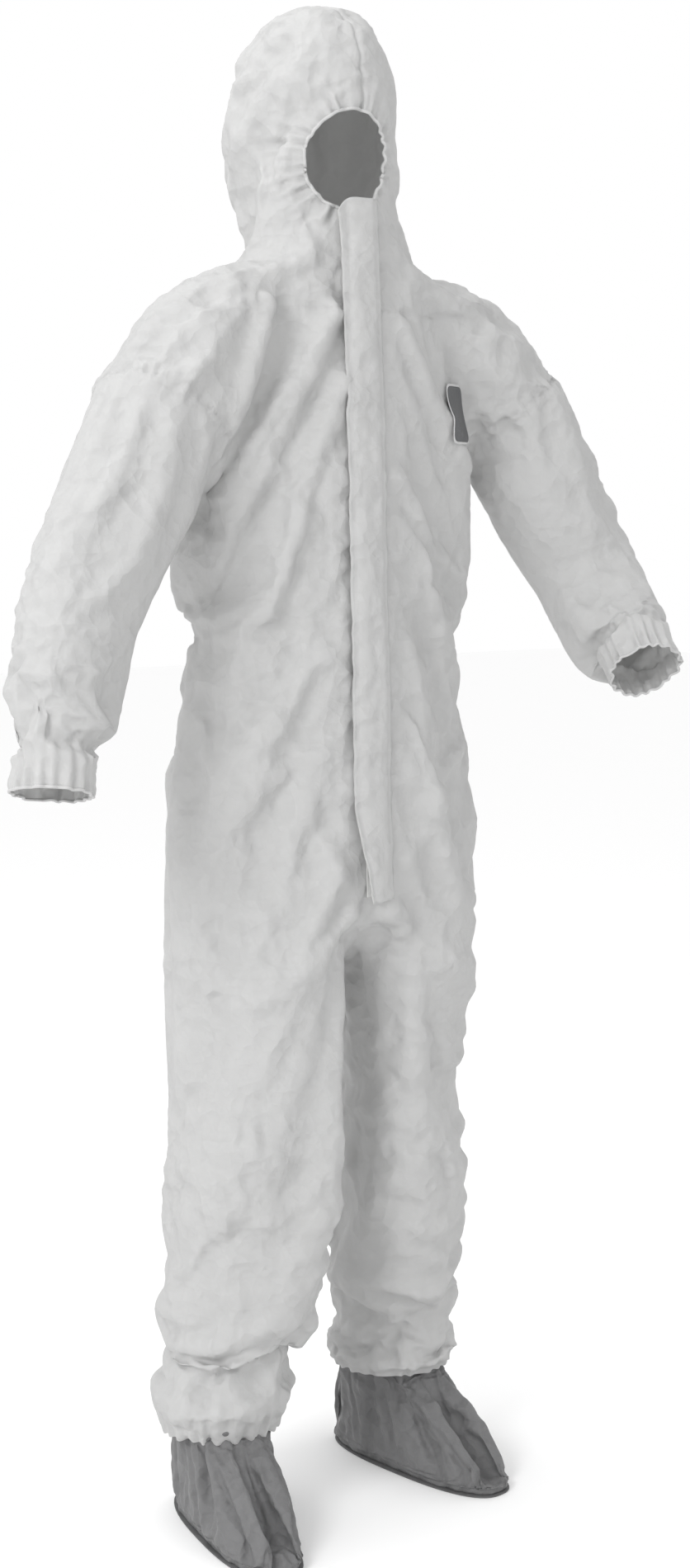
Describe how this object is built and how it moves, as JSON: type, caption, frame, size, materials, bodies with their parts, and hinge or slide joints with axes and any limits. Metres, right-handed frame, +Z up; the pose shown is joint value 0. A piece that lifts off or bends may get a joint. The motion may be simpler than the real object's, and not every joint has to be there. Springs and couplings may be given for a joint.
{
  "type": "hooded protective coverall",
  "caption": "Loose hooded coverall with an elastic face opening and cuffs, a zip under a storm flap, and sewn-on boots, shaped as worn.",
  "frame": {"origin": "on the floor under the middle of the suit, where its wearer stands: x = 0 is the suit's mid-plane", "axes": "+Z up, front of the suit towards -Y, wearer's left towards +X"},
  "size_m": [0.9142, 0.367, 1.8],
  "materials": {
    "white_cloth": "matt non-woven sheet",
    "elastic": "gathered cloth over elastic",
    "zip_plastic": "moulded",
    "patch_cloth": "plain printed patch",
    "boot_cloth": "matt non-woven sheet",
    "sole_cloth": "coated anti-slip sheet"
  },
  "bodies": {
    "body": {"front_panel_right": "white_cloth", "front_panel_left": "white_cloth", "back_panel": "white_cloth", "waist_elastic": "elastic", "chest_patch": "patch_cloth", "zip_tape_right": "white_cloth", "zip_tape_left": "white_cloth", "zip_chain": "zip_plastic", "zip_bottom_stop": "zip_plastic", "zip_top_stop": "zip_plastic"},
    "hood": {"hood_panel_right": "white_cloth", "hood_panel_left": "white_cloth", "face_elastic": "elastic"},
    "flap": {"storm_flap": "white_cloth"},
    "slider": {"zip_slider": "zip_plastic"},
    "pull": {"zip_pull": "zip_plastic"},
    "upper_arm_right": {"sleeve_upper_right": "white_cloth"},
    "forearm_right": {"sleeve_lower_right": "white_cloth", "cuff_elastic_right": "elastic"},
    "thigh_right": {"leg_upper_right": "white_cloth"},
    "shin_right": {"leg_lower_right": "white_cloth", "ankle_elastic_right": "elastic", "boot_upper_right": "boot_cloth", "boot_sole_right": "sole_cloth"},
    "upper_arm_left": {"sleeve_upper_left": "white_cloth"},
    "forearm_left": {"sleeve_lower_left": "white_cloth", "cuff_elastic_left": "elastic"},
    "thigh_left": {"leg_upper_left": "white_cloth"},
    "shin_left": {"leg_lower_left": "white_cloth", "ankle_elastic_left": "elastic", "boot_upper_left": "boot_cloth", "boot_sole_left": "sole_cloth"}
  },
  "joints": [
    {"name": "hood_fold", "type": "hinge", "parent": "body", "child": "hood", "pos_m": [0, 0.0915, 1.44], "axis": [-1, 0, 0], "range_deg": [0, 75]},
    {"name": "flap_open", "type": "hinge", "parent": "body", "child": "flap", "pos_m": [0.0256, -0.1259, 0.76], "axis": [0, 0.033, 0.9995], "range_deg": [0, 120]},
    {"name": "zip_slide", "type": "slide", "parent": "body", "child": "slider", "axis": [0, -0.033, -0.9995], "range_m": [0, 0.75]},
    {"name": "pull_swing", "type": "hinge", "parent": "slider", "child": "pull", "pos_m": [0, -0.10656, 1.53401], "axis": [-1, 0, 0], "range_deg": [0, 9]},
    {"name": "shoulder_right", "type": "hinge", "parent": "body", "child": "upper_arm_right", "pos_m": [-0.262, -0.018, 1.322], "axis": [0, 1, 0], "range_deg": [-8, 50]},
    {"name": "elbow_right", "type": "hinge", "parent": "upper_arm_right", "child": "forearm_right", "pos_m": [-0.35787, -0.05621, 1.12544], "axis": [-1, 0, 0], "range_deg": [-5, 60]},
    {"name": "hip_right", "type": "hinge", "parent": "body", "child": "thigh_right", "pos_m": [-0.109, -0.002, 0.645], "axis": [-1, 0, 0], "range_deg": [-15, 40]},
    {"name": "knee_right", "type": "hinge", "parent": "thigh_right", "child": "shin_right", "pos_m": [-0.11658, -0.00705, 0.50029], "axis": [1, 0, 0], "range_deg": [0, 50]},
    {"name": "shoulder_left", "type": "hinge", "parent": "body", "child": "upper_arm_left", "pos_m": [0.262, -0.018, 1.322], "axis": [0, -1, 0], "range_deg": [-8, 50]},
    {"name": "elbow_left", "type": "hinge", "parent": "upper_arm_left", "child": "forearm_left", "pos_m": [0.38508, -0.0469, 1.13952], "axis": [-1, 0, 0], "range_deg": [-45, 10]},
    {"name": "hip_left", "type": "hinge", "parent": "body", "child": "thigh_left", "pos_m": [0.109, -0.002, 0.645], "axis": [-1, 0, 0], "range_deg": [-15, 40]},
    {"name": "knee_left", "type": "hinge", "parent": "thigh_left", "child": "shin_left", "pos_m": [0.11658, -0.00705, 0.50029], "axis": [1, 0, 0], "range_deg": [0, 50]}
  ]
}
